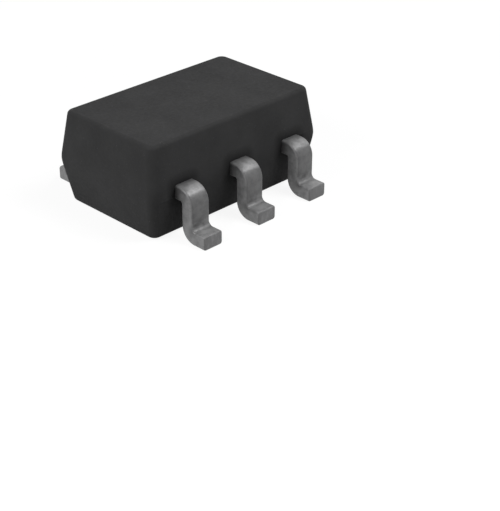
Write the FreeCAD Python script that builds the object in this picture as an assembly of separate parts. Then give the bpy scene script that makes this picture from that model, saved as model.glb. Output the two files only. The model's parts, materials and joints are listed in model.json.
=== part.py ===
import FreeCAD, Part
import math
import os

from FreeCAD import Vector

os.makedirs("parts", exist_ok=True)

# A dual MOSFET in a six-lead gull-wing surface-mount package. All lengths are in millimetres.
# The origin is on the seating plane under the middle of the body. +X runs along the rows of
# leads, +Y points at the rear row (leads 4 to 6) and +Z points up. Seen from above, lead 1 is at
# the left of the front row and the numbers run anticlockwise. The two halves of the array are the
# same shape, turned by half a turn about Z: the first transistor's pieces are on the left.

# Moulded body: two drafted halves that meet at the parting line
body_length = 2.04
body_width = 1.26
package_height = 0.885
standoff = 0.01
parting_height = 0.43
top_draft_degrees = 7.8
bottom_draft_degrees = 9.8
corner_radius = 0.075
top_edge_radius = 0.04
bottom_edge_radius = 0.045

# Stamped and formed strip that the six leads are made of
strip_thickness = 0.13
lead_pitch = 0.65
lead_width = 0.21
strip_edge_bevel = 0.012
forming_radius = 0.012
leg_clearance = 0.068
foot_reach = 0.153
lead_root = 0.04

# Flat ends of the leads inside the body: two die pads and four bonding fingers
end_cover = 0.18
pad_gap = 0.18
finger_gap = 0.10
drain_neck = 0.325
source_neck = 0.175
source_finger_depth = 0.15
source_finger_width = 0.34
gate_neck = 0.095
gate_finger_width = 0.30
plate_corner_radius = 0.02

# Silicon dies and what holds them on their pads
die_side_border = 0.14
die_end_border = 0.06
die_thickness = 0.10
attach_thickness = 0.012
attach_margin = 0.015

# Metal on top of each die
metal_thickness = 0.005
metal_margin = 0.03
metal_gap = 0.03
gate_metal_side = 0.09

# Gold bond wires
wire_diameter = 0.025
wire_sides = 8
ball_diameter = 0.066
ball_height = 0.016
ball_edge_bevel = 0.006
loop_rise = 0.11
loop_bend_radius = 0.035
stitch_length = 0.05
stitch_width = 0.05
stitch_heel_height = 0.034
stitch_tip_height = 0.008

# Two heights closer than this are the same level
same_level = 0.0001

# Levels above the seating plane
frame_underside = parting_height - strip_thickness / 2
frame_top = parting_height + strip_thickness / 2
die_seat = frame_top + attach_thickness
die_top = die_seat + die_thickness
metal_top = die_top + metal_thickness

# Distances from the middle of the body to its walls and to the legs of the leads
half_length = body_length / 2
half_width = body_width / 2
leg_middle = half_width + leg_clearance + strip_thickness / 2
lead_reach = half_width + leg_clearance + strip_thickness + foot_reach
root_reach = half_width - lead_root

# The first transistor's die pad, seen from above
pad_left = -half_length + end_cover
pad_right = -pad_gap / 2
pad_front = -half_width + source_neck + source_finger_depth + finger_gap
pad_back = half_width - drain_neck

# The first transistor's die
die_left = pad_left + die_side_border
die_right = pad_right - die_side_border
die_front = pad_front + die_end_border
die_back = pad_back - die_end_border


def turned(shape):
    """The same piece of the other transistor: a copy turned by half a turn about Z."""
    copy = shape.copy()
    copy.rotate(Vector(0, 0, 0), Vector(0, 0, 1), 180)
    return copy


def joined(shapes):
    """One solid made of touching shapes, with no seams left on its flat faces."""
    solid = shapes[0].fuse(shapes[1:]).removeSplitter()
    return solid.Solids[0] if len(solid.Solids) == 1 else solid


def rounded_outline(left, front, right, back, radius, z):
    """A level rectangle with rounded corners, as a closed wire."""
    lean = radius * (1 - math.sqrt(0.5))
    corners = [
        (left, front, 1, 1),
        (right, front, -1, 1),
        (right, back, -1, -1),
        (left, back, 1, -1),
    ]
    arcs = []
    for number, (x, y, inward_x, inward_y) in enumerate(corners):
        on_side = Vector(x, y + inward_y * radius, z)
        on_end = Vector(x + inward_x * radius, y, z)
        middle = Vector(x + inward_x * lean, y + inward_y * lean, z)
        first, last = (on_side, on_end) if number % 2 == 0 else (on_end, on_side)
        arcs.append(Part.Arc(first, middle, last).toShape())
    edges = []
    for arc, following in zip(arcs, arcs[1:] + arcs[:1]):
        edges.append(arc)
        edges.append(Part.makeLine(arc.lastVertex().Point, following.firstVertex().Point))
    return Part.Wire(edges)


def plate(left, front, right, back):
    """A flat area of the strip with rounded corners."""
    outline = rounded_outline(left, front, right, back, plate_corner_radius, frame_underside)
    return Part.Face(outline).extrude(Vector(0, 0, strip_thickness))


def block(left, front, bottom, right, back, top):
    """A square-cornered box between two opposite corners."""
    size = (right - left, back - front, top - bottom)
    return Part.makeBox(*size, Vector(left, front, bottom))


def rounded_path(points, radius):
    """Straight runs through the points, joined by tangent arcs of one radius."""
    edges = []
    start = points[0]
    for before, corner, after in zip(points, points[1:], points[2:]):
        arriving = (corner - before).normalize()
        leaving = (after - corner).normalize()
        half_turn = arriving.getAngle(leaving) / 2
        setback = radius * math.tan(half_turn)
        towards_centre = (leaving - arriving).normalize()
        arc_start = corner - arriving * setback
        arc_end = corner + leaving * setback
        arc_middle = corner + towards_centre * (radius / math.cos(half_turn) - radius)
        edges.append(Part.makeLine(start, arc_start))
        edges.append(Part.Arc(arc_start, arc_middle, arc_end).toShape())
        start = arc_end
    edges.append(Part.makeLine(start, points[-1]))
    return Part.Wire(edges)


def drafted_half(bottom, top, bottom_inset, top_inset):
    """One half of the moulding: a block whose four walls lean in between two levels."""
    low_x, low_y = half_length - bottom_inset, half_width - bottom_inset
    high_x, high_y = half_length - top_inset, half_width - top_inset
    half = Part.makeWedge(
        -low_x, bottom, -low_y, -high_y, -high_x, low_x, top, low_y, high_y, high_x
    )
    half.rotate(Vector(0, 0, 0), Vector(1, 0, 0), 90)
    return half


def rim_edges(body, level):
    """The edges that run around the flat face at one level."""
    return [e for e in body.Edges if all(abs(v.Z - level) < same_level for v in e.Vertexes)]


def corner_edges(body):
    """The leaning edges at the four corners, above and below the parting line."""
    return [e for e in body.Edges if abs(e.Vertexes[0].Z - e.Vertexes[-1].Z) > same_level]


def drafted_body():
    """The outside of the moulding, with rounded corners and eased top and bottom edges."""
    top_inset = (package_height - parting_height) * math.tan(math.radians(top_draft_degrees))
    bottom_inset = (parting_height - standoff) * math.tan(math.radians(bottom_draft_degrees))
    lower = drafted_half(standoff, parting_height, bottom_inset, 0)
    upper = drafted_half(parting_height, package_height, 0, top_inset)
    body = joined([lower, upper])
    body = body.makeFillet(corner_radius, corner_edges(body))
    body = body.makeFillet(top_edge_radius, rim_edges(body, package_height))
    return body.makeFillet(bottom_edge_radius, rim_edges(body, standoff))


def strip_section(x):
    """The strip's cross-section where a front-row lead starts: flat faces, bevelled edges."""
    half_across, half_thick = lead_width / 2, strip_thickness / 2
    inner_across, inner_thick = half_across - strip_edge_bevel, half_thick - strip_edge_bevel
    corners = [
        (inner_across, -half_thick),
        (half_across, -inner_thick),
        (half_across, inner_thick),
        (inner_across, half_thick),
        (-inner_across, half_thick),
        (-half_across, inner_thick),
        (-half_across, -inner_thick),
        (-inner_across, -half_thick),
    ]
    points = [Vector(x + across, -root_reach, parting_height + up) for across, up in corners]
    return Part.makePolygon(points + points[:1])


def formed_lead(x):
    """The bent part of a front-row lead, from just inside the wall to the tip of its foot."""
    path = rounded_path(
        [
            Vector(x, -root_reach, parting_height),
            Vector(x, -leg_middle, parting_height),
            Vector(x, -leg_middle, strip_thickness / 2),
            Vector(x, -lead_reach, strip_thickness / 2),
        ],
        forming_radius + strip_thickness / 2,
    )
    return path.makePipeShell([strip_section(x)], True, False)


def neck(x, inner_edge):
    """The straight stretch of strip between a front-row lead's root and its plate."""
    half = lead_width / 2
    inside = inner_edge + plate_corner_radius
    return block(x - half, -root_reach, frame_underside, x + half, inside, frame_top)


def source_lead():
    """Lead 1: the first transistor's source, which ends in a bonding finger."""
    x = -lead_pitch
    half = source_finger_width / 2
    outer_edge = -half_width + source_neck
    finger = plate(x - half, outer_edge, x + half, outer_edge + source_finger_depth)
    return joined([formed_lead(x), neck(x, outer_edge), finger])


def gate_lead():
    """Lead 2: the first transistor's gate, whose finger stops short of the other die pad."""
    half = gate_finger_width / 2
    outer_edge = -half_width + gate_neck
    finger = plate(-half, outer_edge, half, -pad_back - finger_gap)
    return joined([formed_lead(0), neck(0, outer_edge), finger])


def drain_lead():
    """Lead 3: the second transistor's drain, in one piece with the pad that carries its die."""
    pad = plate(-pad_right, -pad_back, -pad_left, -pad_front)
    return joined([formed_lead(lead_pitch), neck(lead_pitch, -pad_back), pad])


def die_attach():
    """The cured layer that fixes the first die to its pad and shows a little all round it."""
    return block(
        die_left - attach_margin,
        die_front - attach_margin,
        frame_top,
        die_right + attach_margin,
        die_back + attach_margin,
        die_seat,
    )


def gate_metal_box():
    """Left, front, right and back of the square gate pad in the die's front right corner."""
    right = die_right - metal_margin
    front = die_front + metal_margin
    return right - gate_metal_side, front, right, front + gate_metal_side


def mosfet_die():
    """The first die, with its raised gate pad and the L-shaped source metal around that pad."""
    silicon = block(die_left, die_front, die_seat, die_right, die_back, die_top)
    left, front, right, back = gate_metal_box()
    gate = block(left, front, die_top, right, back, metal_top)
    source = block(
        die_left + metal_margin, front, die_top, right, die_back - metal_margin, metal_top
    )
    around_gate = block(
        left - metal_gap, front, die_top, right, back + metal_gap, metal_top
    )
    return joined([silicon, gate, source.cut(around_gate)])


def ball_bond(foot):
    """The squashed ball at the start of a bond wire."""
    ball = Part.makeCylinder(ball_diameter / 2, ball_height, foot)
    upper_rim = [e for e in ball.Edges if e.Closed and e.Vertexes[0].Z > foot.z]
    return ball.makeChamfer(ball_edge_bevel, upper_rim)


def stitch_bond(heel, along):
    """The flattened wedge at the end of a bond wire, from its heel on in one direction."""
    across = Vector(-along.y, along.x, 0)
    up = Vector(0, 0, 1)
    ends = [
        (heel, wire_diameter + stitch_tip_height, stitch_heel_height),
        (heel + along * stitch_length, stitch_width, stitch_tip_height),
    ]
    outlines = []
    for foot, width, height in ends:
        right = foot + across * (width / 2)
        left = foot - across * (width / 2)
        corners = [left, right, right + up * height, left + up * height, left]
        outlines.append(Part.makePolygon(corners))
    return Part.makeLoft(outlines, True, True)


def wire_section(centre, along):
    """The wire's level cross-section: a regular polygon with one corner towards its landing."""
    across = Vector(-along.y, along.x, 0)
    points = []
    for number in range(wire_sides + 1):
        angle = 2 * math.pi * number / wire_sides
        spoke = along * math.cos(angle) + across * math.sin(angle)
        points.append(centre + spoke * (wire_diameter / 2))
    return Part.makePolygon(points)


def bond_wire(x_from, y_from, x_to, y_to):
    """A ball on the die, a loop that rises and comes down in one plane, and a stitch."""
    foot = Vector(x_from, y_from, metal_top)
    landing = Vector(x_to, y_to, frame_top)
    along = Vector(x_to - x_from, y_to - y_from, 0).normalize()
    heel = landing - along * (stitch_length / 2)
    points = [
        foot + Vector(0, 0, ball_height),
        foot + Vector(0, 0, loop_rise),
        heel + Vector(0, 0, stitch_heel_height / 2),
    ]
    path = rounded_path(points, loop_bend_radius)
    strand = path.makePipeShell([wire_section(points[0], along)], True, True)
    return joined([strand, ball_bond(foot), stitch_bond(heel, along)])


def source_wire():
    """From the middle of the source metal's wide part to the middle of lead 1's finger."""
    gate_left, _, _, _ = gate_metal_box()
    x_from = (die_left + metal_margin + gate_left - metal_gap) / 2
    y_from = (die_front + die_back) / 2
    y_to = -half_width + source_neck + source_finger_depth / 2
    return bond_wire(x_from, y_from, -lead_pitch, y_to)


def gate_wire():
    """From the middle of the gate pad to the middle of lead 2's finger."""
    left, front, right, back = gate_metal_box()
    y_to = (-half_width + gate_neck - pad_back - finger_gap) / 2
    return bond_wire((left + right) / 2, (front + back) / 2, 0, y_to)


def all_pieces():
    """Every piece by name. The body is what is left of the moulding around the others."""
    pieces = {
        "lead_1_source_1": source_lead(),
        "lead_2_gate_1": gate_lead(),
        "lead_3_drain_2": drain_lead(),
        "die_attach_1": die_attach(),
        "mosfet_die_1": mosfet_die(),
        "source_wire_1": source_wire(),
        "gate_wire_1": gate_wire(),
    }
    twins = {
        "lead_4_source_2": "lead_1_source_1",
        "lead_5_gate_2": "lead_2_gate_1",
        "lead_6_drain_1": "lead_3_drain_2",
        "die_attach_2": "die_attach_1",
        "mosfet_die_2": "mosfet_die_1",
        "source_wire_2": "source_wire_1",
        "gate_wire_2": "gate_wire_1",
    }
    for name, original in twins.items():
        pieces[name] = turned(pieces[original])
    pieces["moulded_body"] = drafted_body().cut(list(pieces.values()))
    return pieces


for name, shape in all_pieces().items():
    shape.exportStep(f"parts/{name}.step")
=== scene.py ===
import json
import math

import bmesh
import bpy
from bpy.props import FloatProperty, FloatVectorProperty, IntProperty, PointerProperty
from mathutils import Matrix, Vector

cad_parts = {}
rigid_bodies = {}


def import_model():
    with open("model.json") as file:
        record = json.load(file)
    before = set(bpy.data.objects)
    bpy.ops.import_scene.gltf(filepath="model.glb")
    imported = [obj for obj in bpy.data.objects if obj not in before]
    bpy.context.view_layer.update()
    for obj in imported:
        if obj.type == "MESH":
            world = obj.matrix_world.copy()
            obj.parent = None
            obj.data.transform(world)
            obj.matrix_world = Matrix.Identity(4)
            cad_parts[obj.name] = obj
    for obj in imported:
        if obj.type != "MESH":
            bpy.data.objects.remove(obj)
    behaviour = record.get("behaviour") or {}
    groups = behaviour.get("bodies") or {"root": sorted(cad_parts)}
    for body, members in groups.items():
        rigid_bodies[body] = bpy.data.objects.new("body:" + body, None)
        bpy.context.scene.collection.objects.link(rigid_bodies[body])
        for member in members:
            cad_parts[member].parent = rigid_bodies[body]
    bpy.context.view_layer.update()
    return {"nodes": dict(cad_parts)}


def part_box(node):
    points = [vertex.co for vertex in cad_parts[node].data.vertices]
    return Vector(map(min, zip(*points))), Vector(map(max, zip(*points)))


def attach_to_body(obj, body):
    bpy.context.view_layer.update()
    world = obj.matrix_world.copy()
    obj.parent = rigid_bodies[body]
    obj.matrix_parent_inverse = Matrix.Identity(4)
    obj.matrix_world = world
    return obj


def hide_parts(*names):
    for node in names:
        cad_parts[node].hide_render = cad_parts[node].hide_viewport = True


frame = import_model()

bl_info = {
    "name": "Gull-wing MOSFET array",
    "version": (1, 0, 0),
    "blender": (4, 5, 0),
    "location": "3D View > Sidebar > MOSFET array",
    "description": "Makes the moulding, the formed leads and the finishes of a small MOSFET array",
    "category": "Object",
}

BODY_LOW, BODY_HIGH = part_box("moulded_body")
GATE_LEAD_LOW, GATE_LEAD_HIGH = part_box("lead_2_gate_1")
CORNER_LEAD_LOW, CORNER_LEAD_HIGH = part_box("lead_4_source_2")
DIE_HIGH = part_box("mosfet_die_1")[1]

# Distances in Y from the middle of the body to its wall at the parting line and to the tips
# of the feet
WALL = BODY_HIGH.y
FOOT_TIP = -GATE_LEAD_LOW.y

# Height of the upper face of the strip where it leaves the body
LEAD_TOP = GATE_LEAD_HIGH.z

# Distance between neighbouring leads, from the place of one at a corner
LEAD_PITCH = (CORNER_LEAD_LOW.x + CORNER_LEAD_HIGH.x) / 2

# Each front-row lead and its twin half a turn away
FRONT_ROW = {
    "lead_1_source_1": "lead_4_source_2",
    "lead_2_gate_1": "lead_5_gate_2",
    "lead_3_drain_2": "lead_6_drain_1",
}
LEADS = (*FRONT_ROW, *FRONT_ROW.values())

# What the names of the pieces inside the moulding start with, leads apart
INNER_KINDS = ("die_attach", "mosfet_die", "source_wire", "gate_wire")

# What a cloudy pattern mostly keeps within, and a narrower stretch of it
PATTERN_SPREAD = (0.3, 0.7)
PATTERN_MIDDLE = (0.35, 0.65)

WHITE = (1, 1, 1, 1)


def length(name, description, default):
    """A setting that is a length in metres."""
    return FloatProperty(
        name=name, description=description, default=default, min=0, precision=6, unit="LENGTH"
    )


def lean(name, description, degrees):
    """A setting that is an angle."""
    return FloatProperty(
        name=name, description=description, default=math.radians(degrees), subtype="ANGLE"
    )


def share(name, description, default):
    """A setting from 0 to 1."""
    return FloatProperty(
        name=name, description=description, default=default, min=0, max=1, subtype="FACTOR"
    )


def colour(name, description, default):
    """A setting that is a colour."""
    return FloatVectorProperty(
        name=name, description=description, default=default, min=0, max=1, subtype="COLOR"
    )


def spot(name, description, default):
    """A setting that is a place in metres."""
    return FloatVectorProperty(
        name=name, description=description, default=default, precision=6, subtype="TRANSLATION"
    )


def glow(name, description, default):
    """A setting that is how bright a lamp looks; 1 is white."""
    return FloatProperty(name=name, description=description, default=default, min=0)


class MouldingSettings(bpy.types.PropertyGroup):
    """Sizes and finish of the moulded body. Its outer sizes come from the frame."""

    parting_height: length(
        "Parting height", "Height of the line where the mould halves meet", 0.00043
    )
    top_draft: lean("Top draft", "Lean of the walls above the parting line", 7.8)
    bottom_draft: lean("Bottom draft", "Lean of the walls below the parting line", 9.8)
    corner_radius: length("Corner radius", "Radius of the four upright corners", 0.000075)
    top_radius: length("Top edge radius", "Radius around the top face", 0.00004)
    bottom_radius: length("Bottom edge radius", "Radius around the underside", 0.000045)
    parting_radius: length("Parting radius", "Slight rounding along the parting line", 0.00045)
    rounding_steps: IntProperty(
        name="Rounding steps", description="Facets in each rounded edge", default=12, min=2
    )
    compound_colour: colour(
        "Compound colour", "Colour of the black mould compound", (0.035, 0.035, 0.0355)
    )
    # Painted shade: the compound is drawn darker in a soft rim round each lead
    painted_rim_shade: share("Rim shade", "Brightness of the compound close round each lead", 0.4)
    compound_gloss: share("Compound gloss", "Mirror share of the mould compound", 0.08)


class LeadSettings(bpy.types.PropertyGroup):
    """Sizes and finish of the stamped and formed strip."""

    strip_width: length("Strip width", "Width of a lead outside the body", 0.00021)
    strip_thickness: length("Strip thickness", "Thickness of the strip", 0.00013)
    edge_radius: length("Edge radius", "Radius along the stamped edges", 0.000022)
    tip_radius: length("Tip radius", "Radius around the cut end of a foot", 0.000014)
    forming_radius: length("Forming radius", "Radius inside the upper bend", 0.000018)
    foot_fillet: length("Foot fillet", "Radius inside the bend at the foot", 0.000042)
    foot_reach: length("Foot reach", "From the outside of the leg to the tip", 0.000153)
    plate_corner: length("Plate corner", "Corner radius of a pad or finger", 0.00002)
    source_neck: length("Source neck", "From the wall to a source finger", 0.000175)
    gate_neck: length("Gate neck", "From the wall to a gate finger", 0.000095)
    drain_neck: length("Drain neck", "From the wall to a die pad", 0.000325)
    rings: IntProperty(
        name="Rings", description="Cross-sections along a lead", default=200, min=20
    )
    tin_colour: colour("Tin colour", "Colour of the matt tin", (0.26, 0.26, 0.262))
    worn_colour: colour("Dull tin colour", "Colour of its dull patches", (0.165, 0.165, 0.167))
    tin_roughness: share("Tin roughness", "Roughness of the matt tin", 0.42)
    tin_metal: share("Tin metal share", "How far the matt tin mirrors as a bare metal", 0.2)
    # Painted shade: the tin is drawn darker beside the moulding
    painted_wall_shade: share("Wall shade", "Brightness of the tin beside the moulding", 0.35)
    # Painted shade: the cut sides of the strip are drawn darker near the moulding
    painted_side_shade: share("Side shade", "The same on the cut sides of the strip", 0.28)
    # Painted shade: the outer front of each leg below the upper bend is drawn darker
    painted_front_shade: share("Wiped shade", "Brightness of the wiped front of a leg", 0.5)
    # Painted shade: one long edge of the strip is drawn darker on the upper bend
    painted_edge_shade: share("Rolled shade", "Brightness of the rolled edge on the upper bend", 0.4)


class InnerSettings(bpy.types.PropertyGroup):
    """Finish of the dies, the layers under them and the bond wires."""

    attach_dark: colour("Attach, dark", "Darker grains of the die attach", (0.3, 0.3, 0.31))
    attach_light: colour("Attach, light", "Paler grains of the die attach", (0.52, 0.52, 0.54))
    gold_dark: colour("Gold, dark", "Darker grains of the bond wires", (0.83, 0.56, 0.18))
    gold_light: colour("Gold, light", "Paler grains of the bond wires", (0.92, 0.66, 0.26))
    silicon_colour: colour("Silicon colour", "Colour of the polished dies", (0.09, 0.1, 0.13))
    pad_colour: colour("Pad colour", "Colour of the aluminium on a die", (0.78, 0.78, 0.8))


class StudioSettings(bpy.types.PropertyGroup):
    """Floor, light and camera."""

    floor_size: length("Floor size", "Side of the square floor", 0.5)
    floor_colour: colour("Floor colour", "Colour of the pale floor", (0.66, 0.66, 0.66))
    floor_white: share("Floor white", "White that the floor shows by itself", 0.9)
    floor_shade: share("Floor shade", "Share of the floor's own light and shadow that shows", 0.22)
    surroundings: share("Surroundings", "Strength of the light from all round", 0.08)
    key_place: spot(
        "Key lamp place", "Where the lamp at the front hangs", (0.003, -0.0045, 0.0085)
    )
    key_size: length("Key lamp size", "Side of the lamp at the front", 0.005)
    key_brightness: glow("Key brightness", "Brightness of the lamp at the front", 8.1)
    fill_place: spot(
        "Fill lamp place", "Where the lamp at the left hangs", (-0.0075, 0.0003, 0.0055)
    )
    fill_size: length("Fill lamp size", "Side of the lamp at the left", 0.005)
    fill_brightness: glow("Fill brightness", "Brightness of the lamp at the left", 5.9)
    camera_place: spot(
        "Camera place", "Where the camera stands", (-0.0075229, -0.0081979, 0.0055462)
    )
    camera_turn: FloatVectorProperty(
        name="Camera turn",
        description="Which way the camera points",
        default=(math.radians(60.5647), math.radians(-0.2921), math.radians(-45.2106)),
        subtype="EULER",
    )
    camera_lens: FloatProperty(
        name="Lens", description="Focal length in millimetres", default=94.738, unit="CAMERA"
    )


def feed(tree, node, inputs):
    """Feeds a node's inputs from sockets or plain values."""
    for name, value in inputs.items():
        if isinstance(value, bpy.types.NodeSocket):
            tree.links.new(value, node.inputs[name])
        else:
            node.inputs[name].default_value = value


def add(tree, kind, inputs=None, **options):
    """Adds a node, sets its options and feeds its inputs."""
    new = tree.nodes.new(kind)
    for name, value in options.items():
        setattr(new, name, value)
    feed(tree, new, inputs or {})
    return new


def result(tree, kind, inputs=None, **options):
    """The first output of a new node."""
    return add(tree, kind, inputs, **options).outputs[0]


def calculate(tree, operation, *values):
    """The result of one sum on sockets or plain numbers."""
    return result(tree, "ShaderNodeMath", dict(enumerate(values)), operation=operation)


def minus(tree, first, second):
    """One value less another."""
    return calculate(tree, "SUBTRACT", first, second)


def product(tree, first, *others):
    """All the values multiplied with each other."""
    for other in others:
        first = calculate(tree, "MULTIPLY", first, other)
    return first


def combine(tree, operation, *values):
    """The vector that one sum on vectors makes."""
    sums = add(tree, "ShaderNodeVectorMath", dict(enumerate(values)), operation=operation)
    return sums.outputs["Vector"]


def measure(tree, operation, *values):
    """The number that one sum on vectors makes, such as a length."""
    sums = add(tree, "ShaderNodeVectorMath", dict(enumerate(values)), operation=operation)
    return sums.outputs["Value"]


def between(tree, value, low, high, at_low=0.0, at_high=1.0):
    """The value's place between two limits, spread over two other limits."""
    inputs = {"Value": value, "From Min": low, "From Max": high}
    inputs |= {"To Min": at_low, "To Max": at_high}
    return add(tree, "ShaderNodeMapRange", inputs).outputs["Result"]


def dimmed(tree, mask, shade):
    """Brightness that falls from 1 to the shade where the mask rises from 0 to 1."""
    return between(tree, mask, 0, 1, 1, shade)


def at_place(tree, x, y, z):
    """A vector from three sockets or plain numbers."""
    return result(tree, "ShaderNodeCombineXYZ", {"X": x, "Y": y, "Z": z})


def split(tree, place):
    """The X, Y and Z of a vector."""
    return add(tree, "ShaderNodeSeparateXYZ", {0: place}).outputs


def new_piece(name, mesh):
    """An object at the origin that holds the mesh."""
    piece = bpy.data.objects.new(name, mesh)
    bpy.context.scene.collection.objects.link(piece)
    return piece


def settle(piece):
    """Turns what the piece's modifiers make into its plain mesh."""
    graph = bpy.context.evaluated_depsgraph_get()
    mesh = bpy.data.meshes.new_from_object(
        piece.evaluated_get(graph), preserve_all_data_layers=True, depsgraph=graph
    )
    piece.modifiers.clear()
    piece.data = mesh
    mesh.name = piece.name


def flatten_flats(piece):
    """Keeps hard edges hard and flat faces flat, where rounded edges run into them."""
    hard_angle = math.radians(38)
    same_plane = math.radians(0.5)
    large_faces_lead = 100
    merged = bmesh.new()
    merged.from_mesh(piece.data)
    bmesh.ops.dissolve_limit(
        merged, angle_limit=same_plane, verts=merged.verts, edges=merged.edges
    )
    merged.to_mesh(piece.data)
    merged.free()
    piece.data.set_sharp_from_angle(angle=hard_angle)
    even = piece.modifiers.new("Flat faces stay flat", "WEIGHTED_NORMAL")
    even.weight = large_faces_lead
    even.keep_sharp = True
    settle(piece)


def hollow_out(piece, fillers):
    """Takes the room of other closed pieces out of this one."""
    for filler in fillers:
        cut = piece.modifiers.new(filler.name, "BOOLEAN")
        cut.operation = "DIFFERENCE"
        cut.solver = "MANIFOLD"
        cut.object = filler
    settle(piece)


def merged_copy(node):
    """A closed copy of a node whose own mesh is loose triangles."""
    same_point = 1e-8
    joined = bmesh.new()
    joined.from_mesh(frame["nodes"][node].data)
    bmesh.ops.remove_doubles(joined, verts=joined.verts, dist=same_point)
    mesh = bpy.data.meshes.new(f"{node}_copy")
    joined.to_mesh(mesh)
    joined.free()
    return new_piece(mesh.name, mesh)


def require_closed(piece):
    """Stops the script if the piece's mesh has an open or doubled edge or is inside out."""
    checked = bmesh.new()
    checked.from_mesh(piece.data)
    closed = all(edge.is_manifold for edge in checked.edges)
    volume = checked.calc_volume(signed=True)
    checked.free()
    if not closed or volume <= 0:
        raise RuntimeError(f"{piece.name} is not a closed piece that faces outwards")


def new_material(name):
    """A material, its node tree and its surface shader."""
    material = bpy.data.materials.new(name)
    material.use_nodes = True
    return material, material.node_tree, material.node_tree.nodes["Principled BSDF"]


def object_place(tree):
    """The place on the object, in metres."""
    return add(tree, "ShaderNodeTexCoord").outputs["Object"]


def noise(tree, place, scale, detail=3.0, roughness=0.5):
    """A cloudy pattern around 0.5; the scale is in repeats per metre."""
    inputs = {"Vector": place, "Scale": scale, "Detail": detail, "Roughness": roughness}
    return add(tree, "ShaderNodeTexNoise", inputs).outputs["Fac"]


def stretched(tree, place, stretch):
    """The place, squeezed along each axis, so that a pattern on it is drawn out."""
    return result(tree, "ShaderNodeMapping", {"Vector": place, "Scale": stretch})


def blended(tree, amount, first, second):
    """One colour that turns into another by an amount from 0 to 1."""
    mix = add(tree, "ShaderNodeMix", {0: amount, 6: first, 7: second}, data_type="RGBA")
    return mix.outputs[2]


def opaque(rgb, brightness=1.0):
    """A setting's colour, lighter or darker, as a socket takes it."""
    return [channel * brightness for channel in rgb] + [1.0]


def bumped(tree, height, distance, strength, **start):
    """A surface direction tilted by a height pattern; the distance is its depth in metres. It
    can start from another Normal."""
    inputs = {"Height": height, "Distance": distance, "Strength": strength, **start}
    return add(tree, "ShaderNodeBump", inputs).outputs["Normal"]


def beside_lead(tree, x):
    """Place in X from the middle of the nearest lead."""
    return calculate(tree, "WRAP", x, LEAD_PITCH / 2, -LEAD_PITCH / 2)


def across_lead(tree, x):
    """Distance in X from the middle of the nearest lead."""
    return calculate(tree, "ABSOLUTE", beside_lead(tree, x))


def painted_lead_rim(tree, settings, place):
    """Painted shade on the compound: full brightness, but less in a soft rim where a lead comes
    out.
    """
    rim = 0.0001
    strip = bpy.context.scene.leads
    half_strip = strip.strip_thickness / 2
    parts = split(tree, place)
    rise = calculate(tree, "ABSOLUTE", minus(tree, parts["Z"], LEAD_TOP - half_strip))
    sideways = minus(tree, across_lead(tree, parts["X"]), strip.strip_width / 2)
    upwards = minus(tree, rise, half_strip)
    outside = [calculate(tree, "MAXIMUM", way, 0) for way in (sideways, upwards)]
    away = measure(tree, "LENGTH", at_place(tree, *outside, 0))
    return between(tree, away, 0, rim, settings.painted_rim_shade, 1)


def mould_compound(settings):
    """Black epoxy with a fine matt grain from the mould, a few paler filler grains and painted
    shade round each lead.
    """
    grain_scale = 38000
    cloud_scale = 2600
    filler_scale = 52000
    filler_edges = (0.22, 0.1)
    rare_scale = filler_scale / 3
    rare_edges = (0.58, 0.66)
    tones = (0.9, 1.12, 1.9)
    roughness = (0.62, 0.78)
    grain_depth = 0.0000016
    material, tree, shader = new_material("mould_compound")
    place = object_place(tree)
    grain = noise(tree, place, grain_scale, detail=4, roughness=0.62)
    clouds = noise(tree, place, cloud_scale)
    rare = noise(tree, place, rare_scale, detail=1)
    cells = add(tree, "ShaderNodeTexVoronoi", {"Vector": place, "Scale": filler_scale})
    filler = between(tree, cells.outputs["Distance"], *filler_edges)
    specks = product(tree, filler, between(tree, rare, *rare_edges))
    dark, light, pale = (opaque(settings.compound_colour, tone) for tone in tones)
    cloudy = blended(tree, between(tree, clouds, *PATTERN_MIDDLE), dark, light)
    speckled = blended(tree, specks, cloudy, pale)
    feed(tree, shader, {
        # The colour carries painted shade round each lead
        "Base Color": combine(tree, "MULTIPLY", speckled, painted_lead_rim(tree, settings, place)),
        "Roughness": between(tree, grain, *PATTERN_SPREAD, *roughness),
        "Normal": bumped(tree, grain, grain_depth, strength=0.7),
        "Specular IOR Level": settings.compound_gloss,
    })
    return material


def matt_tin(settings):
    """Matt tin on the strip: mottled, with fine drag marks and sheared tips, and darkened by
    painted shade in places."""
    patch_scale = 19000
    crystal_scale = 70000
    crystal_depth = 0.0000009
    drag_scale = 30000
    drag_stretch = (1, 0.12, 0.12)
    drag_depth = 0.0000012
    smoother = 0.06
    rougher = 0.08
    torn_rougher = 0.18
    material, tree, shader = new_material("matt_tin")
    place = object_place(tree)
    parts = split(tree, place)
    reach = calculate(tree, "ABSOLUTE", parts["Y"])
    patches = noise(tree, place, patch_scale, detail=4, roughness=0.6)
    crystals = noise(tree, place, crystal_scale, detail=2, roughness=0.6)
    drag = noise(tree, stretched(tree, place, drag_stretch), drag_scale, roughness=0.55)
    cut = cut_tip(tree, reach)
    shaded = mottled_tin(tree, settings, place, patches, cut)
    # Painted shade, laid over the tin's own colour
    for shade in painted_tin_shades(tree, settings, parts, reach, patches):
        shaded = combine(tree, "MULTIPLY", shaded, shade)
    rough = settings.tin_roughness
    matt = between(tree, drag, *PATTERN_SPREAD, rough - smoother, rough + rougher)
    torn = product(tree, cut, rough + torn_rougher)
    marks = bumped(tree, drag, drag_depth, strength=0.6)
    feed(tree, shader, {
        "Base Color": shaded,
        "Roughness": calculate(tree, "MAXIMUM", matt, torn),
        "Normal": bumped(tree, crystals, crystal_depth, strength=0.8, Normal=marks),
        "Metallic": settings.tin_metal,
    })
    return material


def cut_tip(tree, reach):
    """1 at the sheared end of each foot and 0 elsewhere."""
    depth = 0.000014
    return between(tree, reach, FOOT_TIP - depth, FOOT_TIP - depth / 2)


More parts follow.
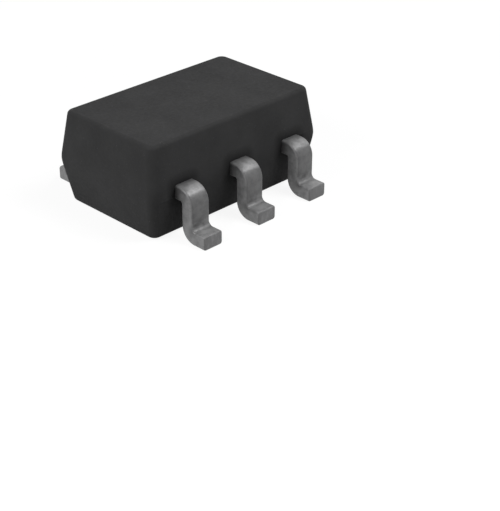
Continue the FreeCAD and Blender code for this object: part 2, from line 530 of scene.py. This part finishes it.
def mottled_tin(tree, settings, place, patches, cut):
    """Colour of the tin: bright with dull patches, and streaked at the sheared tips."""
    patch_edges = (0.42, 0.66)
    dullest_patch = 0.8
    shear_scale = 34000
    shear_stretch = (1, 1, 0.3)
    shear_edges = (0.35, 0.6)
    shear_dullness = (0.5, 1.4)
    sheared = noise(tree, stretched(tree, place, shear_stretch), shear_scale, roughness=0.6)
    torn = product(tree, cut, between(tree, sheared, *shear_edges, *shear_dullness))
    dull = product(tree, between(tree, patches, *patch_edges), dullest_patch)
    dull = calculate(tree, "MAXIMUM", dull, torn)
    return blended(tree, dull, opaque(settings.tin_colour), opaque(settings.worn_colour))


def painted_tin_shades(tree, settings, parts, reach, patches):
    """Painted shade on the tin: along one long edge of the upper bend, beside the moulding, on the
    cut sides near it, on the outer fronts of the legs and inside the bend at the foot."""
    wall_fade = 0.00008
    side_fade = 0.0002
    side_level = 0.92
    side_drop = 0.5
    fillet_fade = (0.3, 1.6)
    painted_fillet_shade = 0.55
    side = cut_side(tree, settings, parts)
    drop = minus(tree, LEAD_TOP, parts["Z"])
    way = calculate(tree, "MULTIPLY_ADD", drop, side_drop, reach)
    # Painted shade on the cut sides, fading out away from the moulding
    painted_side_shade = between(tree, way, WALL, WALL + side_fade, settings.painted_side_shade, side_level)
    shaded_edge = painted_edge_mask(tree, settings, parts, reach, side)
    leg_front = leg_front_mask(tree, settings, parts, reach, side, patches)
    from_bend = from_foot_bend(tree, settings, parts, reach)
    return (
        # Painted shade along one long edge of the upper bend
        dimmed(tree, shaded_edge, settings.painted_edge_shade),
        # Painted shade on the tin beside the moulding
        between(tree, reach, WALL, WALL + wall_fade, settings.painted_wall_shade),
        dimmed(tree, side, painted_side_shade),
        # Painted shade on the outer fronts of the legs
        dimmed(tree, leg_front, settings.painted_front_shade),
        # Painted shade inside the bend at the foot
        between(tree, from_bend, *fillet_fade, painted_fillet_shade),
    )


def cut_side(tree, settings, parts):
    """1 on the cut sides of the strip and 0 on its faces."""
    half_width = settings.strip_width / 2
    edge = half_width - settings.edge_radius / 2
    return between(tree, across_lead(tree, parts["X"]), edge, half_width)


def painted_edge_mask(tree, settings, parts, reach, side):
    """1 along one long edge of the strip on the upper bend, where painted shade darkens it, less
    on the leg, 0 elsewhere.
    """
    band = 0.00008
    out_of_wall = (0.00003, 0.00009)
    below_top = (0.00006, 0.000015)
    on_leg = 0.25
    on_cut_side = 0.65
    half_width = settings.strip_width / 2
    row = calculate(tree, "SIGN", parts["Y"])
    towards = product(tree, beside_lead(tree, parts["X"]), row)
    return product(
        tree,
        between(tree, towards, half_width - band, half_width),
        between(tree, minus(tree, reach, WALL), *out_of_wall),
        between(tree, minus(tree, LEAD_TOP, parts["Z"]), *below_top, on_leg),
        dimmed(tree, side, on_cut_side),
    )


def leg_face(settings):
    """Distance in Y from the middle of the body to the outer face of the legs."""
    return FOOT_TIP - settings.foot_reach


def from_foot_bend(tree, settings, parts, reach):
    """Distance from the line inside the bend at the foot, in fillet radii."""
    out = minus(tree, reach, leg_face(settings))
    up = minus(tree, parts["Z"], settings.strip_thickness)
    gap = measure(tree, "LENGTH", at_place(tree, out, up, 0))
    return calculate(tree, "DIVIDE", gap, settings.foot_fillet)


def leg_front_mask(tree, settings, parts, reach, side, patches):
    """1 on the outer face of each leg, below the upper bend, where painted shade darkens it, and 0
    elsewhere.
    """
    fray = 0.00006
    fray_middle = 0.5
    behind_face = (0.00006, 0.000048)
    below_top = (0.000036, 0.000051)
    strips_up = (1.2, 1.6)
    face = leg_face(settings)
    shift = product(tree, minus(tree, patches, fray_middle), fray)
    height = calculate(tree, "ADD", parts["Z"], shift)
    return product(
        tree,
        between(tree, reach, *(face - depth for depth in behind_face)),
        minus(tree, 1, side),
        between(tree, height, *(LEAD_TOP - drop for drop in below_top)),
        between(tree, height, *(settings.strip_thickness * part for part in strips_up)),
    )


def silicon(settings):
    """A polished dark die with aluminium gate and source pads on top."""
    saw_scale = 60000
    saw_stretch = (1, 1, 0.1)
    roughness = (0.16, 0.34)
    metal_share = 0.9
    pad_depth = 0.000004
    material, tree, shader = new_material("silicon_die")
    place = object_place(tree)
    height = split(tree, place)["Z"]
    pads = between(tree, height, DIE_HIGH.z - pad_depth, DIE_HIGH.z - pad_depth / 2)
    bare, metal = opaque(settings.silicon_colour), opaque(settings.pad_colour)
    sawn = noise(tree, stretched(tree, place, saw_stretch), saw_scale, detail=2)
    feed(tree, shader, {
        "Base Color": blended(tree, pads, bare, metal),
        "Roughness": between(tree, sawn, *PATTERN_SPREAD, *roughness),
        "Metallic": metal_share,
    })
    return material


def speckled_metal(name, dark, light, scale, roughness):
    """A metal surface whose colour and roughness change from grain to grain."""
    material, tree, shader = new_material(name)
    grains = noise(tree, object_place(tree), scale, roughness=0.6)
    paler = between(tree, grains, *PATTERN_MIDDLE)
    feed(tree, shader, {
        "Base Color": blended(tree, paler, opaque(dark), opaque(light)),
        "Roughness": between(tree, grains, *PATTERN_SPREAD, *roughness),
        "Metallic": 1.0,
    })
    return material


def round_corners(points, radii, steps):
    """The inner corners of an open outline, each turned into an arc of its own radius."""
    rounded = []
    for before, corner, after, radius in zip(points, points[1:], points[2:], radii):
        arriving = (corner - before).normalized()
        leaving = (after - corner).normalized()
        turn = arriving.angle_signed(leaving)
        setback = radius * math.tan(abs(turn) / 2)
        side = Vector((-arriving.y, arriving.x)) * (-1 if turn > 0 else 1)
        centre = corner - arriving * setback + side * radius
        spoke = -side * radius
        for step in range(steps + 1):
            swing = -turn * step / steps
            rounded.append(centre + Vector((
                spoke.x * math.cos(swing) - spoke.y * math.sin(swing),
                spoke.x * math.sin(swing) + spoke.y * math.cos(swing),
            )))
    return rounded


def level_ring(half_x, half_y, radius, z, steps):
    """Points of a level rounded rectangle, anticlockwise as seen from above."""
    ring = []
    for quarter, (side_x, side_y) in enumerate(((1, -1), (1, 1), (-1, 1), (-1, -1))):
        for step in range(steps + 1):
            angle = math.pi / 2 * (quarter - 1 + step / steps)
            x = side_x * (half_x - radius) + radius * math.cos(angle)
            y = side_y * (half_y - radius) + radius * math.sin(angle)
            ring.append(Vector((x, y, z)))
    return ring


def moulding_rings(settings):
    """Level outlines of the moulding from its underside to its top face."""
    bottom, top = BODY_LOW.z, BODY_HIGH.z
    parting = settings.parting_height
    lean_below = math.tan(settings.bottom_draft)
    lean_above = math.tan(settings.top_draft)
    inset_bottom = (parting - bottom) * lean_below
    inset_top = (top - parting) * lean_above
    # The outline starts and ends well inside the two level faces
    inside = inset_bottom + BODY_HIGH.y / 2
    outline = [
        Vector((inside, bottom)),
        Vector((inset_bottom, bottom)),
        Vector((0, parting)),
        Vector((inset_top, top)),
        Vector((inside, top)),
    ]
    radii = [settings.bottom_radius, settings.parting_radius, settings.top_radius]
    steps = settings.rounding_steps
    rings = []
    for inset, z in round_corners(outline, radii, steps):
        wall = (parting - z) * lean_below if z < parting else (z - parting) * lean_above
        radius = settings.corner_radius - (inset - wall)
        rings.append(level_ring(BODY_HIGH.x - inset, BODY_HIGH.y - inset, radius, z, steps))
    return rings


def moulding_mesh(settings):
    """The smooth closed outside of the moulding."""
    shell = bmesh.new()
    rings = [[shell.verts.new(point) for point in ring] for ring in moulding_rings(settings)]
    for lower, upper in zip(rings, rings[1:]):
        for number in range(len(lower)):
            other = number - 1
            shell.faces.new((lower[other], lower[number], upper[number], upper[other]))
    shell.faces.new(reversed(rings[0]))
    shell.faces.new(rings[-1])
    for face in shell.faces:
        face.smooth = True
    mesh = bpy.data.meshes.new("body")
    shell.to_mesh(mesh)
    shell.free()
    return mesh


def formed_name(node):
    """The name of the piece that stands for a lead's node."""
    return node.replace("lead_", "formed_lead_")


class MOSFET_OT_mould_body(bpy.types.Operator):
    """Make the black drafted body with its rounded edges"""

    bl_idname = "mosfet.mould_body"
    bl_label = "Moulded body"

    def execute(self, context):
        settings = context.scene.moulding
        piece = new_piece("body", moulding_mesh(settings))
        piece.data.materials.append(mould_compound(settings))
        leads = [bpy.data.objects[formed_name(node)] for node in LEADS]
        copies = [merged_copy(node) for node in frame["nodes"] if node.startswith(INNER_KINDS)]
        hollow_out(piece, leads + copies)
        for copy in copies:
            bpy.data.objects.remove(copy)
        flatten_flats(piece)
        require_closed(piece)
        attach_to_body(piece, "root")
        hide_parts("moulded_body")
        return {"FINISHED"}


def lead_inputs(tree):
    """Gives the lead tree its named inputs and returns their sockets."""
    sizes = (
        "Strip width",
        "Strip thickness",
        "Strip level",
        "Edge radius",
        "Tip radius",
        "Forming radius",
        "Foot fillet",
        "Neck start",
        "Leg place",
        "Foot tip",
        "Lead place",
        "Plate width",
        "Plate depth",
        "Plate corner",
    )
    kinds = dict.fromkeys(sizes, "NodeSocketFloat") | {
        "Rings": "NodeSocketInt",
        "Plate centre": "NodeSocketVector",
        "Turn": "NodeSocketRotation",
        "Finish": "NodeSocketMaterial",
    }
    for name, kind in kinds.items():
        tree.interface.new_socket(name=name, in_out="INPUT", socket_type=kind)
    tree.interface.new_socket(
        name="Geometry", in_out="OUTPUT", socket_type="NodeSocketGeometry"
    )
    return add(tree, "NodeGroupInput").outputs


def halved(tree, size):
    """Half of a size."""
    return calculate(tree, "DIVIDE", size, 2.0)


def moved(tree, geometry, **places):
    """The geometry with its points put at a Position or moved by an Offset."""
    return result(tree, "GeometryNodeSetPosition", {"Geometry": geometry, **places})


def filleted(tree, curve, radius, arc_points):
    """The curve with each corner turned into an arc."""
    inputs = {"Curve": curve, "Count": arc_points, "Radius": radius}
    return result(tree, "GeometryNodeFilletCurve", inputs, mode="POLY")


def rounded_rectangle(tree, width, height, radius, arc_points):
    """A closed outline with rounded corners."""
    sides = {"Width": width, "Height": height}
    outline = result(tree, "GeometryNodeCurvePrimitiveQuadrilateral", sides)
    return filleted(tree, outline, radius, arc_points)


def swept(tree, curve, outline):
    """The closed solid that an outline makes along a curve."""
    inputs = {"Curve": curve, "Profile Curve": outline, "Fill Caps": True}
    return result(tree, "GeometryNodeCurveToMesh", inputs)


def forming_path(tree, given):
    """The strip's middle line: out of the body, down the leg and out along the foot."""
    arc_points = 24
    level = given["Strip level"]
    half_strip = halved(tree, given["Strip thickness"])
    corners = (
        (given["Neck start"], level),
        (given["Leg place"], level),
        (given["Leg place"], half_strip),
        (given["Foot tip"], half_strip),
    )
    points = {
        f"Point {number}": at_place(tree, 0.0, out, up)
        for number, (out, up) in enumerate(corners, start=1)
    }
    closed = result(tree, "GeometryNodeCurvePrimitiveQuadrilateral", points, mode="POINTS")
    opened = result(tree, "GeometryNodeSetSplineCyclic", {"Geometry": closed, "Cyclic": False})
    radius = calculate(tree, "ADD", given["Forming radius"], half_strip)
    return filleted(tree, opened, radius, arc_points)


def ringed_path(tree, given, path):
    """The same line as a row of points that lie closer together towards the tip."""
    crowding = 1.7
    straight = result(tree, "GeometryNodeCurvePrimitiveLine")
    evenly = {"Curve": straight, "Count": given["Rings"]}
    line = result(tree, "GeometryNodeResampleCurve", evenly, mode="COUNT")
    along = add(tree, "GeometryNodeSplineParameter").outputs["Factor"]
    left = calculate(tree, "POWER", minus(tree, 1.0, along), crowding)
    inputs = {"Curves": path, "Factor": minus(tree, 1.0, left)}
    sample = add(tree, "GeometryNodeSampleCurve", inputs, mode="FACTOR")
    return moved(tree, line, Position=sample.outputs["Position"])


def ease_tip(tree, given, strip, centre, remaining):
    """Pulls the last stretch of the strip in, so that its cut end has rounded edges."""
    radius = given["Tip radius"]
    short = minus(tree, radius, calculate(tree, "MINIMUM", remaining, radius))
    squares = minus(tree, product(tree, radius, radius), product(tree, short, short))
    rise = calculate(tree, "SQRT", calculate(tree, "MAXIMUM", squares, 0.0))
    inset = minus(tree, radius, rise)
    wide, high = (
        minus(tree, 1.0, calculate(tree, "DIVIDE", inset, halved(tree, size)))
        for size in (given["Strip width"], given["Strip thickness"])
    )
    arm = combine(tree, "SUBTRACT", result(tree, "GeometryNodeInputPosition"), centre)
    shrunk = at_place(tree, wide, high, high)
    return moved(tree, strip, Position=combine(tree, "MULTIPLY_ADD", arm, shrunk, centre))


def fill_foot_bend(tree, given, strip, centre):
    """Widens the inside of the bend at the foot and leaves its outside as it is."""
    in_section = (0, 1, 1)
    radius = given["Foot fillet"]
    thickness = given["Strip thickness"]
    half_strip = halved(tree, thickness)
    front = minus(tree, given["Leg place"], half_strip)
    out, up = minus(tree, front, radius), calculate(tree, "ADD", thickness, radius)
    place = result(tree, "GeometryNodeInputPosition")
    spoke, arm = (
        combine(tree, "MULTIPLY", combine(tree, "SUBTRACT", place, middle), in_section)
        for middle in (at_place(tree, 0.0, out, up), centre)
    )
    depth = minus(tree, half_strip, measure(tree, "LENGTH", arm))
    outer = calculate(tree, "ADD", radius, depth)
    short = minus(tree, measure(tree, "LENGTH", spoke), outer)
    parts = split(tree, spoke)
    inward = product(
        tree,
        calculate(tree, "MAXIMUM", short, 0.0),
        calculate(tree, "LESS_THAN", measure(tree, "DOT_PRODUCT", arm, spoke), 0.0),
        calculate(tree, "LESS_THAN", parts["Z"], 0.0),
        calculate(tree, "GREATER_THAN", parts["Y"], 0.0),
        -1.0,
    )
    offset = combine(tree, "MULTIPLY", combine(tree, "NORMALIZE", spoke), inward)
    return moved(tree, strip, Offset=offset)


def formed_strip(tree, given):
    """The bent strip with rounded edges, in its place in the front row."""
    edge_points = 7
    path = forming_path(tree, given)
    total = result(tree, "GeometryNodeCurveLength", {"Curve": path})
    run = add(tree, "GeometryNodeSplineParameter").outputs["Length"]
    held = tree.nodes.new("GeometryNodeCaptureAttribute")
    held.capture_items.new("VECTOR", "Centre")
    held.capture_items.new("FLOAT", "Remaining")
    feed(tree, held, {
        "Geometry": ringed_path(tree, given, path),
        "Centre": result(tree, "GeometryNodeInputPosition"),
        "Remaining": minus(tree, total, run),
    })
    centre = held.outputs["Centre"]
    width, thickness = given["Strip width"], given["Strip thickness"]
    section = rounded_rectangle(tree, width, thickness, given["Edge radius"], edge_points)
    bent = swept(tree, held.outputs["Geometry"], section)
    eased = ease_tip(tree, given, bent, centre, held.outputs["Remaining"])
    filled = fill_foot_bend(tree, given, eased, centre)
    return moved(tree, filled, Offset=at_place(tree, given["Lead place"], 0.0, 0.0))


def inner_plate(tree, given):
    """The flat pad or finger inside the body: its outline drawn up through the strip."""
    corner_points = 5
    width, depth = given["Plate width"], given["Plate depth"]
    outline = rounded_rectangle(tree, width, depth, given["Plate corner"], corner_points)
    half_strip = halved(tree, given["Strip thickness"])
    ends = {
        "Start": at_place(tree, 0.0, 0.0, product(tree, half_strip, -1.0)),
        "End": at_place(tree, 0.0, 0.0, half_strip),
    }
    upright = result(tree, "GeometryNodeCurvePrimitiveLine", ends)
    return moved(tree, swept(tree, upright, outline), Offset=given["Plate centre"])


def lead_tree():
    """Geometry nodes that form one lead from its sizes and stand it in its row."""
    tree = bpy.data.node_groups.new("Formed lead", "GeometryNodeTree")
    given = lead_inputs(tree)
    whole = add(tree, "GeometryNodeMeshBoolean", operation="UNION", solver="MANIFOLD")
    for part in (inner_plate(tree, given), formed_strip(tree, given)):
        tree.links.new(part, whole.inputs["Mesh 2"])
    smooth = result(tree, "GeometryNodeSetShadeSmooth", {"Geometry": whole.outputs["Mesh"]})
    stand = {
        "Points": result(tree, "GeometryNodePoints", {"Count": 1}),
        "Instance": smooth,
        "Rotation": given["Turn"],
    }
    stood = result(tree, "GeometryNodeInstanceOnPoints", stand)
    real = result(tree, "GeometryNodeRealizeInstances", {"Geometry": stood})
    finish = {"Geometry": real, "Material": given["Finish"]}
    add(tree, "NodeGroupOutput", {0: result(tree, "GeometryNodeSetMaterial", finish)})
    return tree


def lead_sizes(settings, node, neck, lead_place):
    """The lead tree's sizes for one front-row lead."""
    low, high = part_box(node)
    thickness = settings.strip_thickness
    plate_front = BODY_LOW.y + neck
    level = high.z - thickness / 2
    return {
        "Strip width": settings.strip_width,
        "Strip thickness": thickness,
        "Strip level": level,
        "Edge radius": settings.edge_radius,
        "Tip radius": settings.tip_radius,
        "Forming radius": settings.forming_radius,
        "Foot fillet": settings.foot_fillet,
        "Neck start": plate_front + settings.plate_corner,
        "Leg place": low.y + settings.foot_reach + thickness / 2,
        "Foot tip": low.y,
        "Lead place": lead_place,
        "Rings": settings.rings,
        "Plate width": high.x - low.x,
        "Plate depth": high.y - plate_front,
        "Plate corner": settings.plate_corner,
        "Plate centre": ((low.x + high.x) / 2, (plate_front + high.y) / 2, level),
    }


def form_lead(name, tree, values):
    """Makes the piece that stands for one lead's node."""
    piece = new_piece(formed_name(name), bpy.data.meshes.new(name))
    forming = piece.modifiers.new("Form lead", "NODES")
    forming.node_group = tree
    for socket in tree.interface.items_tree:
        if socket.in_out == "INPUT":
            forming[socket.identifier] = values[socket.name]
    settle(piece)
    flatten_flats(piece)
    require_closed(piece)
    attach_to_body(piece, "root")
    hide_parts(name)


class MOSFET_OT_form_leads(bpy.types.Operator):
    """Form the six tinned leads with their die pads and bonding fingers"""

    bl_idname = "mosfet.form_leads"
    bl_label = "Formed leads"

    def execute(self, context):
        settings = context.scene.leads
        tree = lead_tree()
        finish = matt_tin(settings)
        necks = (settings.source_neck, settings.gate_neck, settings.drain_neck)
        for number, (node, twin) in enumerate(FRONT_ROW.items()):
            sizes = lead_sizes(settings, node, necks[number], LEAD_PITCH * (number - 1))
            for name, turn in ((node, 0.0), (twin, math.pi)):
                form_lead(name, tree, sizes | {"Turn": (0.0, 0.0, turn), "Finish": finish})
        return {"FINISHED"}


class MOSFET_OT_finish_inner_parts(bpy.types.Operator):
    """Give the dies, the layers under them and the bond wires their finishes"""

    bl_idname = "mosfet.finish_inner_parts"
    bl_label = "Dies and bond wires"

    def execute(self, context):
        settings = context.scene.inner_parts
        attach_scale = 90000
        attach_roughness = (0.5, 0.75)
        gold_scale = 60000
        gold_roughness = (0.16, 0.28)
        attach = (settings.attach_dark, settings.attach_light, attach_scale, attach_roughness)
        gold = (settings.gold_dark, settings.gold_light, gold_scale, gold_roughness)
        attach_finish = speckled_metal("die_attach", *attach)
        gold_finish = speckled_metal("gold_wire", *gold)
        finishes = {
            "die_attach": attach_finish,
            "mosfet_die": silicon(settings),
            "source_wire": gold_finish,
            "gate_wire": gold_finish,
        }
        for name, finish in finishes.items():
            for half in (1, 2):
                materials = frame["nodes"][f"{name}_{half}"].data.materials
                materials.clear()
                materials.append(finish)
        return {"FINISHED"}


def seen_directly(tree):
    """1 for what the camera sees by itself, in a gloss or through glass, and 0 for other light."""
    path = add(tree, "ShaderNodeLightPath").outputs
    seen = calculate(tree, "MAXIMUM", path["Is Camera Ray"], path["Is Glossy Ray"])
    return calculate(tree, "MAXIMUM", seen, path["Is Transmission Ray"])


def make_floor(settings):
    """A plain pale floor that shows white, also past the lamps' reach, and keeps a shadow."""
    lamp_reach = (0.002, 0.01)
    half = settings.floor_size / 2
    mesh = bpy.data.meshes.new("floor")
    corners = [(-half, -half, 0), (half, -half, 0), (half, half, 0), (-half, half, 0)]
    mesh.from_pydata(corners, [], [range(len(corners))])
    floor = new_piece("floor", mesh)
    material, tree, shader = new_material("pale_floor")
    seen = seen_directly(tree)
    pale = opaque(settings.floor_colour)
    shaded = opaque(settings.floor_colour, settings.floor_shade)
    away = measure(tree, "LENGTH", object_place(tree))
    white = between(tree, away, *lamp_reach, settings.floor_white, 1)
    feed(tree, shader, {
        "Base Color": blended(tree, seen, pale, shaded),
        "Roughness": 1.0,
        "Specular IOR Level": 0.0,
        "Emission Color": WHITE,
        "Emission Strength": product(tree, seen, white),
    })
    mesh.materials.append(material)


def make_surroundings(settings):
    """Even light from all round, with white behind the object."""
    world = bpy.data.worlds.new("surroundings")
    bpy.context.scene.world = world
    world.use_nodes = True
    tree = world.node_tree
    even = tree.nodes["Background"]
    feed(tree, even, {"Color": WHITE, "Strength": settings.surroundings})
    white = result(tree, "ShaderNodeBackground", {"Color": WHITE, "Strength": 1.0})
    shown = {0: seen_directly(tree), 1: even.outputs[0], 2: white}
    mix = result(tree, "ShaderNodeMixShader", shown)
    feed(tree, tree.nodes["World Output"], {"Surface": mix})


def softbox(name, place, size, brightness):
    """A square lamp that points at the object; a brightness of 1 is white."""
    lamp = bpy.data.lights.new(name, "AREA")
    lamp.size = size
    lamp.energy = brightness * math.pi * size**2
    box = new_piece(name, lamp)
    box.location = place
    box.rotation_euler = Vector(place).to_track_quat("Z", "Y").to_euler()
    box.visible_camera = False


def make_camera(settings):
    """The camera at the place and with the lens that the settings give."""
    nearest = 0.0005
    furthest = 2.0
    lens = bpy.data.cameras.new("camera")
    lens.lens = settings.camera_lens
    lens.clip_start = nearest
    lens.clip_end = furthest
    camera = new_piece("camera", lens)
    camera.location = settings.camera_place
    camera.rotation_euler = settings.camera_turn
    bpy.context.scene.camera = camera


class MOSFET_OT_make_studio(bpy.types.Operator):
    """Set up the floor, the soft lights and the camera"""

    bl_idname = "mosfet.make_studio"
    bl_label = "Studio"

    def execute(self, context):
        settings = context.scene.studio
        make_floor(settings)
        make_surroundings(settings)
        softbox("key_lamp", settings.key_place, settings.key_size, settings.key_brightness)
        softbox("fill_lamp", settings.fill_place, settings.fill_size, settings.fill_brightness)
        make_camera(settings)
        context.scene.view_settings.view_transform = "Standard"
        return {"FINISHED"}


# Each group of settings by the name that it has in the scene
SETTINGS = {
    "moulding": MouldingSettings,
    "leads": LeadSettings,
    "inner_parts": InnerSettings,
    "studio": StudioSettings,
}

STEPS = (
    MOSFET_OT_form_leads,
    MOSFET_OT_mould_body,
    MOSFET_OT_finish_inner_parts,
    MOSFET_OT_make_studio,
)


class MOSFET_PT_panel(bpy.types.Panel):
    """Lists the steps that make the dressed part"""

    bl_idname = "MOSFET_PT_panel"
    bl_label = "MOSFET array"
    bl_space_type = "VIEW_3D"
    bl_region_type = "UI"
    bl_category = "MOSFET array"

    def draw(self, context):
        for step in STEPS:
            self.layout.operator(step.bl_idname)


CLASSES = (*SETTINGS.values(), *STEPS, MOSFET_PT_panel)


def register():
    for part in CLASSES:
        bpy.utils.register_class(part)
    for name, group in SETTINGS.items():
        setattr(bpy.types.Scene, name, PointerProperty(type=group))


def unregister():
    for name in SETTINGS:
        delattr(bpy.types.Scene, name)
    for part in reversed(CLASSES):
        bpy.utils.unregister_class(part)


def main():
    register()
    bpy.ops.mosfet.form_leads()
    bpy.ops.mosfet.mould_body()
    bpy.ops.mosfet.finish_inner_parts()
    bpy.ops.mosfet.make_studio()


if __name__ == "__main__":
    main()
